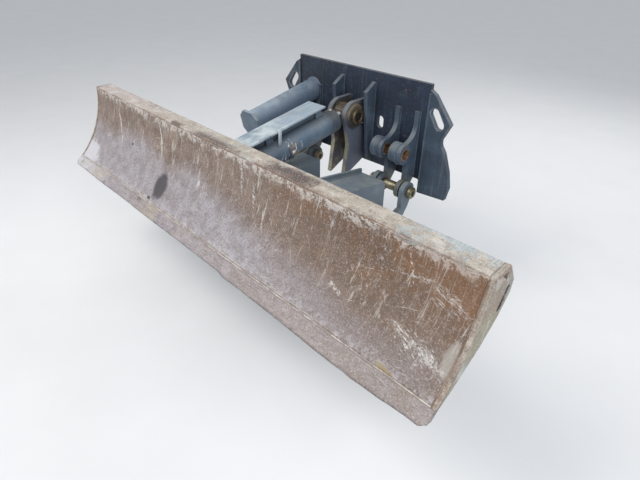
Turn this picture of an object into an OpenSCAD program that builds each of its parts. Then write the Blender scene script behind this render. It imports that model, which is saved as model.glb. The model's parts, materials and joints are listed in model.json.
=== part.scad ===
// Dozer blade of a wheeled excavator with its lift linkage and the chassis end that carries it.
// X runs along the blade, the hollow face looks toward -Y, Z is up, and the origin is the
// middle of the chassis end's back face. The blade is drawn raised, as far as it goes.

/* [Blade] */
// Width of the blade from end to end
blade_w = 2480; // [2000:10:2800]
// Straight height of the face, from the top edge to the tip of the cutting edge
face_h = 470; // [430:1:520]
// Radius of the hollow face
face_r = 560; // [520:1:700]
// Lean of the raised face from upright, in degrees
face_lean = 30; // [27:1:33]
// Distance of the top edge in front of the mounting face
blade_reach = 900; // [880:1:960]
// Height of the top edge over the mounting face's middle
blade_rise = 70; // [50:1:90]
// Thickness of the mouldboard plate
board_t = 12; // [8:1:16]
// Height of the cutting edge, along the face
edge_h = 63; // [50:1:90]
// Thickness of the cutting edge
edge_t = 20; // [16:1:30]

/* [Blade frame] */
// Depth of the top rail
rail_d = 84; // [70:1:100]
// Height of the top rail
rail_h = 92; // [80:1:110]
// Plate thickness of the top rail
rail_t = 10; // [8:1:14]
// Thickness of the blade's end plates
end_t = 16; // [10:1:20]
// Reach of an end plate's rear corner behind the top edge
end_w = 140; // [120:1:150]
// Outer depth of the square beam along the blade's back
beam_d = 110; // [90:1:130]
// Wall of the back beam
beam_t = 10; // [6:1:14]
// Length of the back beam
beam_w = 1900; // [1500:10:1950]
// Thickness of the back ribs
rib_t = 12; // [8:1:16]
// Distance between the back ribs, counted outward from the arms
rib_pitch = 230; // [180:5:250]

/* [Push arms] */
// Distance of an arm's middle from the machine's centre
arm_x = 332; // [325:1:340]
// Width of an arm's box section
arm_w = 159; // [155:1:165]
// Thickness of an arm's hinge plates
arm_lug_t = 25; // [20:1:30]
// Depth of an arm's box section
arm_h = 150; // [120:1:160]
// Wall of an arm's box section
arm_t = 12; // [8:1:16]
// Slope of an arm's top plate, rising toward the blade, in degrees
arm_slope = 9; // [7:1:11]
// Distance of the box's rear end in front of the mounting face
arm_rear = 270; // [260:1:290]
// Height of the inner wall's lip over an arm's top plate
arm_lip = 20; // [10:1:30]
// Radius of an arm's hinge eye
arm_eye_r = 49; // [46:1:52]
// Outer width of the box under the lift cylinder
foot_w = 148; // [144:1:156]
// Distance of the box's rear end in front of the mounting face
foot_rear = 374; // [350:1:400]
// Depth of the box's rear end
foot_h = 110; // [90:1:130]

/* [Hinge] */
// Distance of the hinge line in front of the mounting face
hinge_out = 100; // [95:1:105]
// Drop of the hinge line under the mounting face's middle
hinge_drop = 283; // [278:1:290]
// Diameter of the hinge pins
hinge_d = 50; // [44:1:56]
// Radial clearance of the arms on the hinge pins
hinge_gap = 0.3; // [0.2:0.05:0.6]

/* [Lift cylinder] */
// Distance of the rod's pin in front of the mounting face
head_out = 112; // [108:1:120]
// Height of the rod's pin over the mounting face's middle
head_rise = 26; // [15:1:35]
// Length of the closed cylinder from pin to pin
cyl_len = 650; // [640:1:670]
// Slope of the raised cylinder, falling toward the blade, in degrees
cyl_slope = 9; // [7:1:11]
// Outer diameter of the barrel
barrel_d = 118; // [112:1:124]
// Wall of the barrel
barrel_wall = 10; // [8:1:14]
// Diameter of the rod
rod_d = 60; // [50:1:64]
// Diameter of the cylinder's pins
cyl_pin_d = 50; // [40:1:56]
// Outer diameter of the cylinder's eyes
cyl_eye_d = 110; // [100:1:116]
// Room for the rod's eye to drift round its pin
head_drift = 11; // [10:0.5:12]
// Width of the guard strip over the barrel
strip_w = 120; // [100:1:130]
// Thickness of the guard strip
strip_t = 8; // [6:1:12]
// Length of the guard strip
strip_len = 500; // [460:1:510]

/* [Chassis end] */
// Width of the end plate
plate_w = 880; // [870:1:890]
// Height of the end plate
plate_h = 480; // [470:1:500]
// Thickness of the end plate
plate_t = 20; // [16:1:24]
// Thickness of the clevis plates
clevis_t = 25; // [20:1:30]
// Radius of the clevis plates' round heads
clevis_r = 72; // [66:1:76]
// Diameter of the rings welded round the pin on the clevis plates
ring_d = 118; // [100:1:124]
// Gap between the clevis plates
clevis_gap = 76; // [72:1:80]
// Thickness of the lug ribs
lug_t = 25; // [20:1:28]
// Outer diameter of the spare bosses
boss_d = 102; // [96:1:110]
// Length of the spare bosses
boss_len = 70; // [60:1:80]
// Bore of the spare bosses
spare_d = 50; // [40:1:60]
// Distance of the spare bores in front of the mounting face
spare_out = 115; // [110:1:120]
// Drop of the spare bores under the mounting face's middle
spare_drop = 87; // [80:1:95]
// Distance from an arm's middle to each lug rib's middle
lug_x = 57.5; // [52:0.5:60]

/* [Side plates and tube] */
// Width of the slotted side plates
side_w = 160; // [140:1:180]
// Thickness of the slotted side plates
side_t = 25; // [20:1:30]
// Length of the slot
slot_len = 106; // [96:1:112]
// Width of the slot
slot_w = 48; // [40:1:52]
// Outer diameter of the side tube
tube_d = 120; // [110:1:126]
// Wall of the side tube
tube_wall = 8; // [5:1:12]
// Distance of the side tube's front end from the mounting face
tube_reach = 480; // [420:1:520]
// Slope of the side tube, falling toward the blade, in degrees
tube_slope = 11; // [9:0.1:13]

/* [Hidden] */
$fn = 96;
// Slack between pieces of different bodies
side_gap = 5;
seat = 0.3;
// Longer than any piece, for cuts and overlaps that run right through
far = 1000;

// Side tube
tube_z = -22;
cap_t = 14;
cap_over = 9;
cap_cut = 34;

// Face arc: its centre, and the angles of its top, weld seam and tip seen from there
half_a = asin(face_h / 2 / face_r);
top_a = -(face_lean - half_a);
tip_a = -(face_lean + half_a);
seam_a = tip_a + edge_h / face_r * 180 / PI;
edge_a = seam_a - 0.01;
arc_y = -blade_reach - face_r * cos(top_a);
arc_z = blade_rise - face_r * sin(top_a);
inner_w = blade_w - 2 * end_t;
back_r = face_r + board_t;

// Pins
hinge_y = -hinge_out;
hinge_z = -hinge_drop;
head_y = -head_out;
head_z = head_rise;
base_y = head_y - cyl_len * cos(cyl_slope);
base_z = head_z - cyl_len * sin(cyl_slope);

// Along the cylinder, from the base pin toward the rod's pin
lug_r = 46;
base_lug_t = 20;
base_foot = -25;
base_foot_r = 78;
pin_reach = 14;
base_pin_head = 20;
head_pin_head = 30;
hinge_pin_head = 12;
barrel_start = lug_r + side_gap;
gland_len = 46;
barrel_end = cyl_len - 96;
bore_r = barrel_d / 2 - barrel_wall;
rod_len = 430;
piston_len = 50;
eye_w = clevis_gap - 2 * side_gap;
ring_t = 14;
pin_head_t = 11;
strip_rise = 36;
strip_back = 62;

// Chassis end
front_y = -plate_t;
cable_x = 164;
cable_z = -5;
cable_len = 66;
cable_w = 40;
lug_in = arm_x - lug_x;
lug_out = arm_x + lug_x;
lug_top = 105;
lug_neck = 14;
lug_curve_r = 80;
lug_eye_r = 46;
plate_foot = -235;
clevis_foot = -305;
spare_y = -spare_out;
spare_z = -spare_drop;
boss_proud = 3;
boss_shift = (boss_len - lug_t) / 2 - boss_proud;
gusset_x = 108;
gusset_t = 22;
slot_x = 56;
slot_z = 90;
slot_turn = 34;

// Arms
arm_in = arm_x - arm_w / 2;
arm_out = arm_x + arm_w / 2;
arm_top_z = -175;
foot_top_z = -136;
foot_front = 765;
arm_front_y = arc_y + back_r * cos(-36) + 4;

function on_arc(r, a) = [arc_y + r * cos(a), arc_z + r * sin(a)];
function back_y(z) = arc_y + sqrt(back_r * back_r - (z - arc_z) * (z - arc_z));
function arm_z(y) = arm_top_z - (y + arm_rear) * tan(arm_slope);

paint = [0.36, 0.43, 0.49];
shade = [0.27, 0.33, 0.39];
pale = [0.62, 0.68, 0.72];
rust = [0.50, 0.38, 0.30];
worn = [0.66, 0.64, 0.60];
grease = [0.48, 0.42, 0.30];

// Plate lying in the YZ plane: its outline is drawn as (Y, Z) and it is t thick, centred on x
module yz_plate(x, t) {
    translate([x - t / 2, 0, 0])
        rotate([90, 0, 90])
            linear_extrude(t)
                children();
}

// Plate lying in the XZ plane: its outline is drawn as (X, Z), from y back to y + t
module xz_plate(y, t) {
    translate([0, y + t, 0])
        rotate([90, 0, 0])
            linear_extrude(t)
                children();
}

// Bar or bore along X, centred on x
module x_rod(x, y, z, d, len) {
    translate([x - len / 2, y, z])
        rotate([0, 90, 0])
            cylinder(d = d, h = len);
}

// Flat outline that wraps two circles, given as [y, z, r]. Its straight sides start just inside
// the circles, so that they cross them cleanly
module strap(a, b) {
    d = norm([b[0] - a[0], b[1] - a[1]]);
    dir = atan2(b[1] - a[1], b[0] - a[0]);
    tilt = acos((a[2] - b[2]) / d);
    inside = 0.996;
    translate([a[0], a[1]]) circle(r = a[2]);
    translate([b[0], b[1]]) circle(r = b[2]);
    polygon([for (s = [[a, 1], [b, 1], [b, -1], [a, -1]])
        [s[0][0], s[0][1]] + inside * s[0][2] * [cos(dir + s[1] * tilt), sin(dir + s[1] * tilt)]]);
}

// Slot with round ends, standing upright and centred
module slot(len, width) {
    square([width, len - width], center = true);
    for (s = [-1, 1])
        translate([0, s * (len - width) / 2]) circle(d = width);
}

// Children drawn along the closed cylinder: the base pin is at the origin and the rod leaves along +X
module along_cylinder() {
    translate([0, base_y, base_z])
        rotate([cyl_slope, 0, 0])
            rotate([0, 0, 90])
                children();
}

module disc_x(from, to, d) {
    translate([from, 0, 0]) rotate([0, 90, 0]) cylinder(d = d, h = to - from);
}

// Chassis end

module end_plate() {
    color(shade)
        xz_plate(front_y, plate_t)
            difference() {
                square([plate_w, plate_h], center = true);
                for (s = [-1, 1])
                    translate([s * cable_x, cable_z]) slot(cable_len, cable_w);
            }
}

// Side plate outline: a long slope over the slot, a round notch, and a broad foot
module side_outline() {
    x0 = plate_w / 2;
    notch_x = x0 + 97;
    difference() {
        polygon([
            [x0, 215], [x0 + 30, 197], [x0 + 131, 79], [notch_x, 5], [notch_x, -30],
            [x0 + 120, -62], [x0 + 155, -150], [x0 + 172, -230], [x0 + side_w, -300], [x0, -312]
        ]);
        translate([notch_x + 40, -12]) circle(r = 44);
        translate([x0 + slot_x, slot_z])
            rotate(slot_turn)
                slot(slot_len, slot_w);
    }
}

module side_plate(side) {
    color(shade)
        mirror([side < 0 ? 1 : 0, 0, 0])
            xz_plate(-side_t, side_t)
                side_outline();
}

// Clevis plate with a round head, and a ring round the pin on its outer face
module clevis(side) {
    x = side * (clevis_gap + clevis_t) / 2;
    ring_x = side * (clevis_gap / 2 + clevis_t + ring_t / 2);
    color(paint)
        difference() {
            union() {
                yz_plate(x, clevis_t) clevis_outline();
                x_rod(ring_x, head_y, head_z, ring_d, ring_t);
            }
            x_rod(x, head_y, head_z, cyl_pin_d, 4 * clevis_t);
        }
}

module clevis_outline() {
    top_z = head_z + clevis_r - 0.3;
    union() {
        translate([head_y, head_z]) circle(r = clevis_r);
        polygon([
            [front_y, top_z], [head_y, top_z], [head_y, head_z], [head_y - clevis_r + 4, head_z],
            [head_y - 34, -125], [head_y - 62, clevis_foot], [front_y, plate_foot]
        ]);
    }
}

module gusset(side) {
    color(paint)
        yz_plate(side * gusset_x, gusset_t)
            polygon([[front_y, 190], [-90, 150], [-48, plate_foot + 10], [front_y, plate_foot]]);
}

// Rib outline: a neck on the end plate, a hollow curve down to the spare bore, a waist, and
// the hinge eye
module lug_outline() {
    neck_y = front_y - lug_neck;
    waist_y = spare_y + 28;
    around_r = boss_d / 2 - 1;
    curve_y = neck_y - lug_curve_r;
    curve_z = spare_z + sqrt(pow(lug_curve_r + around_r, 2) - pow(curve_y - spare_y, 2));
    difference() {
        union() {
            polygon([
                [front_y, lug_top], [neck_y, lug_top], [neck_y, curve_z],
                [curve_y, curve_z - lug_curve_r - 1],
                [spare_y, spare_z], [waist_y, spare_z - 20], [waist_y, hinge_z + 20], [hinge_y, hinge_z],
                [hinge_y + 20, hinge_z - 38], [front_y, hinge_z + 38]
            ]);
            translate([spare_y, spare_z]) circle(r = around_r);
            translate([hinge_y, hinge_z]) circle(r = lug_eye_r);
        }
        translate([curve_y, curve_z]) circle(r = lug_curve_r + 0.4);
    }
}

// Lug rib with its spare boss, which stands out toward the middle. The left ones are notched
// round the side tube
module lug(x) {
    boss_x = x - sign(x) * boss_shift;
    color(paint)
        difference() {
            union() {
                yz_plate(x, lug_t) lug_outline();
                x_rod(boss_x, spare_y, spare_z, boss_d, boss_len);
            }
            x_rod(boss_x, spare_y, spare_z, spare_d, boss_len + 20);
            x_rod(x, hinge_y, hinge_z, hinge_d, lug_t + 20);
            if (x < 0) tube_line() disc_x(0, far, tube_d + 2 * seat);
        }
}

// Children drawn along the side tube: its front end is at the origin and it runs back along +X
module tube_line() {
    translate([-arm_x, -tube_reach, tube_z])
        rotate([tube_slope, 0, 0])
            rotate([0, 0, 90])
                children();
}

module side_tube() {
    color(paint)
        intersection() {
            tube_line()
                difference() {
                    disc_x(0, far, tube_d);
                    disc_x(-1, far + 1, tube_d - 2 * tube_wall);
                }
            translate([-far, front_y - far, -far / 2]) cube(far);
        }
}

// Square cap with cut corners
module side_tube_cap() {
    half = tube_d / 2 + cap_over;
    color(pale)
        tube_line()
            translate([-cap_t, 0, 0])
                rotate([90, 0, 90])
                    linear_extrude(cap_t)
                        polygon([for (c = [[1, 1], [-1, 1], [-1, -1], [1, -1]])
                            for (k = (c[0] * c[1] > 0) ? [0, 1] : [1, 0])
                                [c[0] * (half - k * cap_cut), c[1] * (half - (1 - k) * cap_cut)]]);
}

// Pin along X with a round head on each end
module headed_pin(x, y, z, d, len, head_d) {
    color(grease)
        union() {
            x_rod(x, y, z, d, len);
            for (s = [-1, 1]) x_rod(x + s * (len + pin_head_t) / 2, y, z, head_d, pin_head_t);
        }
}

module head_pin() {
    headed_pin(0, head_y, head_z, cyl_pin_d, clevis_gap + 2 * (clevis_t + ring_t),
        cyl_pin_d + head_pin_head);
}

module hinge_pin(side) {
    len = arm_w + 2 * (arm_lug_t + pin_reach);
    headed_pin(side * arm_x, hinge_y, hinge_z, hinge_d, len, hinge_d + hinge_pin_head);
}

// Blade

module board_outline() {
    z1 = blade_rise - rail_t;
    intersection() {
        difference() {
            translate([arc_y, arc_z]) circle(r = back_r, $fn = 240);
            translate([arc_y, arc_z]) circle(r = face_r, $fn = 240);
        }
        polygon([
            [arc_y, arc_z], [-blade_reach - edge_t, z1], [arc_y + far, z1],
            on_arc(back_r * 1.3, seam_a)
        ]);
    }
}

module mouldboard() {
    color(rust)
        yz_plate(0, inner_w)
            board_outline();
}

// Flat top plate with a sloping plate behind it that closes it against the mouldboard
module top_rail() {
    top = [-blade_reach + rail_d, blade_rise];
    foot = [back_y(blade_rise - rail_h), blade_rise - rail_h];
    color(worn)
        yz_plate(0, inner_w)
            difference() {
                union() {
                    translate([-blade_reach, blade_rise - rail_t]) square([rail_d, rail_t]);
                    translate(top)
                        rotate(atan2(foot[1] - top[1], foot[0] - top[0]))
                            translate([0, -rail_t])
                                square([norm(foot - top) + rail_t, rail_t]);
                }
                intersection() {
                    translate([arc_y, arc_z]) circle(r = back_r, $fn = 240);
                    translate([arc_y, blade_rise - rail_t - far]) square(far);
                }
            }
}

module cutting_edge() {
    color(worn)
        yz_plate(0, blade_w)
            polygon([
                on_arc(face_r, edge_a), on_arc(face_r, tip_a),
                on_arc(face_r + edge_t, tip_a + 1.6), on_arc(face_r + edge_t, edge_a)
            ]);
}

// End plate: the face's arc in front, a deep rear corner under the rail, and a rear edge that
// runs in to the cutting edge. It has an oblong hole, and a small one under the rail
module end_outline() {
    rear_y = -blade_reach + end_w;
    difference() {
        polygon([
            [-blade_reach, blade_rise], [-blade_reach + rail_d, blade_rise], [rear_y, -10],
            [rear_y + 2, -58], [rear_y - 42, -128], [rear_y - 122, -203],
            on_arc(face_r + 46, seam_a + 7), on_arc(face_r + edge_t, seam_a),
            on_arc(face_r - 1, seam_a), [arc_y, arc_z]
        ]);
        translate([arc_y, arc_z]) circle(r = face_r, $fn = 240);
        polygon([[rear_y - 96, 52], [rear_y - 60, 54], [rear_y - 60, 20]]);
        strap([rear_y - 30, -28, 14], [rear_y - 54, -88, 14]);
    }
}

module blade_end(side) {
    color(pale)
        yz_plate(side * (blade_w - end_t) / 2, end_t)
            end_outline();
}

// Square beam behind the lower half of the face
module beam_outline(in) {
    a = -38;
    translate(on_arc(back_r, a))
        rotate(a)
            translate([in ? beam_t : -8, -beam_d / 2 + (in ? beam_t : 0)])
                square([beam_d - (in ? 2 * beam_t : -8), beam_d - (in ? 2 * beam_t : 0)]);
}

module back_beam() {
    color(shade)
        yz_plate(0, beam_w)
            difference() {
                beam_outline(false);
                beam_outline(true);
                translate([arc_y, arc_z]) circle(r = back_r, $fn = 240);
            }
}

module rib_outline() {
    difference() {
        polygon([
            on_arc(face_r * 0.9, top_a - 12), on_arc(back_r + 52, top_a - 12),
            on_arc(back_r + 78, -30), on_arc(face_r * 0.9, -30)
        ]);
        translate([arc_y, arc_z]) circle(r = back_r, $fn = 240);
        beam_outline(false);
    }
}

module back_ribs() {
    x0 = arm_out + arm_lug_t;
    n = floor((beam_w / 2 - x0) / rib_pitch);
    color(shade)
        for (s = [-1, 1])
            for (i = [1 : n])
                yz_plate(s * (x0 + i * rib_pitch), rib_t)
                    rib_outline();
}

// Push arms

// Outline of the box from its rear end to the blade, drawn in by t on every side but the front
module arm_outline(t) {
    y1 = -arm_rear - t;
    y0 = arm_front_y;
    difference() {
        polygon([
            [y1, arm_z(y1) - t], [y0, arm_z(y0) - t],
            [y0, arm_z(y0) - arm_h + t], [y1, arm_z(y1) - arm_h + t]
        ]);
        translate([arc_y, arc_z]) circle(r = back_r, $fn = 240);
        beam_outline(false);
    }
}

// Box section. Its inner wall stands up as a lip over the top plate
module arm_box(side) {
    lip_front = back_y(arm_z(arm_front_y) + arm_lip) + 1;
    color(paint)
        difference() {
            union() {
                yz_plate(side * arm_x, arm_w) arm_outline(0);
                yz_plate(side * (arm_in + arm_t / 2), arm_t)
                    intersection() {
                        translate([0, arm_lip]) arm_outline(0);
                        translate([lip_front, -far / 2]) square(far);
                    }
            }
            yz_plate(side * arm_x, arm_w - 2 * arm_t) arm_outline(arm_t);
        }
}

// Hinge plate on each side of the box, from the eye round the dip and along the box's foot
module arm_lug_outline() {
    y1 = -arm_rear;
    y0 = y1 - 330;
    foot_z = arm_z(y1) - arm_h;
    eye_y = hinge_y - arm_eye_r + 0.4;
    difference() {
        union() {
            translate([hinge_y, hinge_z]) circle(r = arm_eye_r);
            polygon([
                [hinge_y, hinge_z], [eye_y, hinge_z], [eye_y, hinge_z - 80], [y1 + 50, hinge_z - 105],
                [y1 - 10, foot_z + 14], [y0, arm_z(y0) - arm_h + 70], [y0 - 60, arm_z(y0) - arm_h + 40],
                [y0 - 60, arm_z(y0) - arm_h + 4], [y1 - 60, foot_z - 106], [hinge_y - 40, foot_z - 112],
                [hinge_y + 8, hinge_z - 90], [hinge_y + 44, hinge_z - 18]
            ]);
        }
        translate([hinge_y, hinge_z]) circle(d = hinge_d + 2 * hinge_gap);
    }
}

module arm_lugs(side) {
    color(paint)
        for (s = [-1, 1])
            yz_plate(side * arm_x + s * (arm_w + arm_lug_t) / 2, arm_lug_t)
                arm_lug_outline();
}

module foot_outline() {
    difference() {
        polygon([
            [-foot_rear, foot_top_z], [arm_front_y, foot_top_z], [arm_front_y, -300],
            [-foot_rear, foot_top_z - foot_h]
        ]);
        translate([arc_y, arc_z]) circle(r = back_r, $fn = 240);
        beam_outline(false);
    }
}

// Box under the cylinder, open below. Its top plate ends behind the base lugs, and its walls
// run on past them to the blade
module cylinder_foot() {
    color(paint)
        union() {
            for (s = [-1, 1])
                yz_plate(s * (foot_w - arm_t) / 2, arm_t) foot_outline();
            translate([-foot_w / 2, -foot_front, foot_top_z - arm_t])
                cube([foot_w, foot_front - foot_rear, arm_t]);
        }
}

// Lift cylinder

module base_lugs() {
    color(paint)
        for (s = [-1, 1])
            yz_plate(s * (clevis_gap + base_lug_t) / 2, base_lug_t)
                difference() {
                    strap([base_y, base_z, lug_r], concat(on_arc(back_r, base_foot), [base_foot_r]));
                    translate([base_y, base_z]) circle(d = cyl_pin_d);
                    translate([arc_y, arc_z]) circle(r = back_r, $fn = 240);
                    beam_outline(false);
                }
}

module base_pin() {
    headed_pin(0, base_y, base_z, cyl_pin_d, clevis_gap + 2 * base_lug_t,
        cyl_pin_d + base_pin_head);
}

module base_eye() {
    color(paint)
        along_cylinder()
            difference() {
                union() {
                    rotate([90, 0, 0]) cylinder(d = cyl_eye_d - 16, h = eye_w, center = true);
                    translate([0, -eye_w / 2, -40]) cube([barrel_start, eye_w, 80]);
                }
                rotate([90, 0, 0]) cylinder(d = cyl_pin_d + 0.1, h = eye_w + 2, center = true);
            }
}

module barrel() {
    color(paint)
        along_cylinder()
            difference() {
                disc_x(barrel_start, barrel_end - gland_len, barrel_d);
                disc_x(barrel_start + 24, barrel_end - gland_len + 1, 2 * bore_r);
            }
}

module gland() {
    color(paint)
        along_cylinder()
            difference() {
                disc_x(barrel_end - gland_len, barrel_end, barrel_d);
                disc_x(barrel_end - gland_len - 1, barrel_end + 1, rod_d + 2 * seat);
            }
}

module rod() {
    color("silver")
        along_cylinder()
            union() {
                disc_x(cyl_len - rod_len, cyl_len - cyl_eye_d / 2 + 4, rod_d);
                disc_x(cyl_len - rod_len - piston_len, cyl_len - rod_len, 2 * bore_r - 1);
            }
}

module rod_eye() {
    color(grease)
        along_cylinder()
            translate([cyl_len, 0, 0])
                difference() {
                    rotate([90, 0, 0]) cylinder(d = cyl_eye_d, h = eye_w, center = true);
                    rotate([90, 0, 0]) cylinder(d = cyl_pin_d + 2 * head_drift, h = eye_w + 2, center = true);
                    disc_x(-cyl_eye_d, -cyl_eye_d / 2 + 4, rod_d);
                }
}

module guard_strip() {
    color(pale)
        along_cylinder()
            translate([barrel_end - strip_back - strip_len, -20, barrel_d / 2 + strip_rise])
                cube([strip_len, strip_w, strip_t]);
}

module guard_posts() {
    color(paint)
        along_cylinder()
            for (x = [barrel_start + 60, barrel_end - 120])
                difference() {
                    translate([x, -6, 0]) cube([40, 12, barrel_d / 2 + strip_rise]);
                    disc_x(0, cyl_len, barrel_d);
                }
}

end_plate();
side_plate(-1);  // side_plate_left
side_plate(1);  // side_plate_right
clevis(-1);  // clevis_left
clevis(1);  // clevis_right
gusset(-1);  // gusset_left
gusset(1);  // gusset_right
lug(-lug_out);  // lug_left_outer
lug(-lug_in);  // lug_left_inner
lug(lug_in);  // lug_right_inner
lug(lug_out);  // lug_right_outer
head_pin();
hinge_pin(-1);  // hinge_pin_left
hinge_pin(1);  // hinge_pin_right
side_tube();
side_tube_cap();
mouldboard();
top_rail();
cutting_edge();
blade_end(-1);  // blade_end_left
blade_end(1);  // blade_end_right
back_beam();
back_ribs();
arm_box(-1);  // arm_box_left
arm_box(1);  // arm_box_right
arm_lugs(-1);  // arm_lugs_left
arm_lugs(1);  // arm_lugs_right
cylinder_foot();
base_lugs();
base_pin();
barrel();
base_eye();
gland();
rod();
rod_eye();
guard_strip();
guard_posts();
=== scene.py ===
"""Dozer blade with its lift linkage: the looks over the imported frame. Metres, in the CAD frame."""
import json
from math import asin, cos, pi, radians, sin, sqrt, tan

import bmesh
import bpy
from mathutils import Matrix, Vector, noise

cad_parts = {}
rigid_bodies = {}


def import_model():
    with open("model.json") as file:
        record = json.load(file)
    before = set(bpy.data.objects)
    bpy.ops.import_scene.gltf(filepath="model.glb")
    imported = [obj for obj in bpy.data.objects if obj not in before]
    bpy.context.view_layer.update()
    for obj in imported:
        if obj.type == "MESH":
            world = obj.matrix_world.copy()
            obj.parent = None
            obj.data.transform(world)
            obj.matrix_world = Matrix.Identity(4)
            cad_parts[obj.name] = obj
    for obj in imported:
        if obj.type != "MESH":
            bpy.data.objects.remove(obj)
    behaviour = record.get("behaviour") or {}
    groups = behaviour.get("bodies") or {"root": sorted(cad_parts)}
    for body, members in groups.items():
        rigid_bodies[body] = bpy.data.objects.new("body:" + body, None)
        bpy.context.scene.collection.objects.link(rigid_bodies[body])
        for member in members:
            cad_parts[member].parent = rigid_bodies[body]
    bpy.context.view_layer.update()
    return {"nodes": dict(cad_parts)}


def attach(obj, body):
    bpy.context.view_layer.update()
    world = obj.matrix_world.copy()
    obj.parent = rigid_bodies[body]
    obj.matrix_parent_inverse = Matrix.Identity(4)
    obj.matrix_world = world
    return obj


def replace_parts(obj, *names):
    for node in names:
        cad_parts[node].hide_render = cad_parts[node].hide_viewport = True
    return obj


for left_over in list(bpy.data.objects):
    bpy.data.objects.remove(left_over)
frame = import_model()

X, Y, Z = Vector((1, 0, 0)), Vector((0, 1, 0)), Vector((0, 0, 1))


def tilted(a):
    """Directions along and square to a line that rises by angle a toward +Y."""
    return Vector((0, cos(a), sin(a))), Vector((0, -sin(a), cos(a)))


# Floor and sky: height, and linear colours
GROUND = -0.904
FLOOR_DARK, FLOOR_PALE = (0.74, 0.74, 0.74, 1), (0.80, 0.80, 0.80, 1)
SKY_LIGHT, WHITE = (0.52, 0.545, 0.58, 1), (1, 1, 1, 1)

# Blade, repeated from part.scad
FACE_R, FACE_H, BOARD_T = 0.560, 0.470, 0.012
FACE_LEAN = radians(30)
BLADE_W, REACH, RISE = 2.480, 0.900, 0.070
EDGE_H, EDGE_T, END_T = 0.063, 0.020, 0.016
RAIL_D, RAIL_H, RAIL_T = 0.084, 0.092, 0.010
BEAM_W, BEAM_D, BEAM_T = 1.900, 0.110, 0.010
BEAM_A = radians(-38)
RIB_T, RIB_PITCH = 0.012, 0.230
HALF_A = asin(FACE_H / 2 / FACE_R)
TOP_A = HALF_A - FACE_LEAN
TIP_A = -HALF_A - FACE_LEAN
SEAM_A = TIP_A + EDGE_H / FACE_R
ARC_Y = -REACH - FACE_R * cos(TOP_A)
ARC_Z = RISE - FACE_R * sin(TOP_A)
RAIL_FOOT_A = asin((RISE - RAIL_T - ARC_Z) / FACE_R)
BACK_R = FACE_R + BOARD_T
INNER = BLADE_W / 2 - END_T

# Push arms, repeated from part.scad
ARM_X, ARM_W, ARM_T, ARM_LUG_T = 0.332, 0.159, 0.012, 0.025
ARM_REAR, ARM_TOP = -0.270, -0.175
ARM_SLOPE = tan(radians(9))
PIN_REACH, PIN_HEAD_T = 0.014, 0.011

# Chassis end, repeated from part.scad
FRONT, PLATE_X = -0.020, 0.440
HEAD = Vector((0, -0.112, 0.026))
HINGE = Vector((0, -0.100, -0.283))
SPARE = Vector((0, -0.115, -0.087))
LUG_T, BOSS_R, SPARE_R = 0.025, 0.051, 0.025
LUG_MIDDLES = (ARM_X - 0.0575, ARM_X + 0.0575)
GUSSET_X, GUSSET_T = 0.108, 0.022
CLEVIS_IN, CLEVIS_OUT = 0.038, 0.063
RING_R, RING_T = 0.059, 0.014
SLOT = Vector((0.496, FRONT, 0.09))
TUBE_R, TUBE_SLOPE = 0.060, radians(11)
TUBE_DIR, TUBE_UP = tilted(TUBE_SLOPE)
TUBE_END = Vector((-ARM_X, -0.480, -0.022))

# Lift cylinder, repeated from part.scad
CYL_LEN, BARREL_R, GLAND_END, GLAND_LEN = 0.650, 0.059, 0.554, 0.046
CYL_DIR, CYL_UP = tilted(radians(9))
BASE = HEAD - CYL_LEN * CYL_DIR
STRIP_UP, STRIP_T = 0.095, 0.008

# Ovals on the face and the edge: x, z, half sizes, and where needed turn, raggedness and softness
LONG_RUNS = ((-0.918, -0.085, 0.09, 0.0045, -60, 0.8), (-0.49, -0.03, 0.09, 0.0045, -72, 0.8))
SCRATCHED = ((1.13, -0.055, 0.085, 0.035, -14), (1.10, -0.215, 0.11, 0.032, -8))
GOUGED = ((1.12, -0.055, 0.085, 0.03, -16, 0.9), (1.11, -0.215, 0.12, 0.03, -10, 0.9),
          (-0.08, -0.21, 0.03, 0.02))
CHIPS = ((0.16, -0.008, 0.006, 0.05, 9), (0.25, -0.06, 0.007, 0.046, 17), (-0.122, -0.138, 0.009, 0.022, 0),
         (1.16, -0.049, 0.042, 0.014, -24), (1.01, -0.04, 0.075, 0.0035, 12), (1.0, -0.02, 0.0035, 0.045, 26),
         (1.118, -0.211, 0.1, 0.012, -11), (0.758, -0.194, 0.03, 0.007, -16), (0.33, -0.125, 0.007, 0.03, 12))
STAINS = ((-0.394, -0.224, 0.048, 0.054, 0, 0.3), (-0.44, -0.284, 0.014, 0.006),
          (-0.762, -0.129, 0.009, 0.007), (-0.70, -0.31, 0.010, 0.006))
EDGE_STAINS = ((-0.50, -0.306, 0.022, 0.008, 0, 0.9), (-0.86, -0.33, 0.012, 0.006))

# Colour, strength and oval of a pale spot and smear, a warm and a pale corner, and a yellowish notch
MARKS = (((176, 166, 152), 0.6, (-0.376, -0.037, 0.012, 0.028)),
         ((170, 164, 156), 0.6, (1.212, -0.19, 0.024, 0.05)),
         ((134, 94, 60), 0.35, (1.16, 0.0, 0.16, 0.08, 0, 1.0, 0.9)),
         ((206, 205, 210), 0.75, (-1.18, -0.27, 0.11, 0.06, 0, 0.7)),
         ((150, 130, 92), 0.75, (1.046, -0.293, 0.034, 0.007, -4, 0.8)))

# Dark stretches of the rim: x, half width, raggedness, y where it fades and where it is full, strength
RIM_STAINS = ((0.41, 0.12, 0.7, -0.812, -0.85, 0.95), (-0.07, 0.13, 0.8, -0.85, -0.885, 0.9),
              (-0.36, 0.045, 0.7, -0.86, -0.89, 0.9))
END_HOLE = Vector((1.232, -0.802, -0.058))


# Places
def arc(r, a, x=0.0):
    """Point at radius r and angle a of the face's arc."""
    return Vector((x, ARC_Y + r * cos(a), ARC_Z + r * sin(a)))


def back_y(z):
    """The board's back at height z."""
    return ARC_Y + sqrt(BACK_R * BACK_R - (z - ARC_Z) ** 2)


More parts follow.
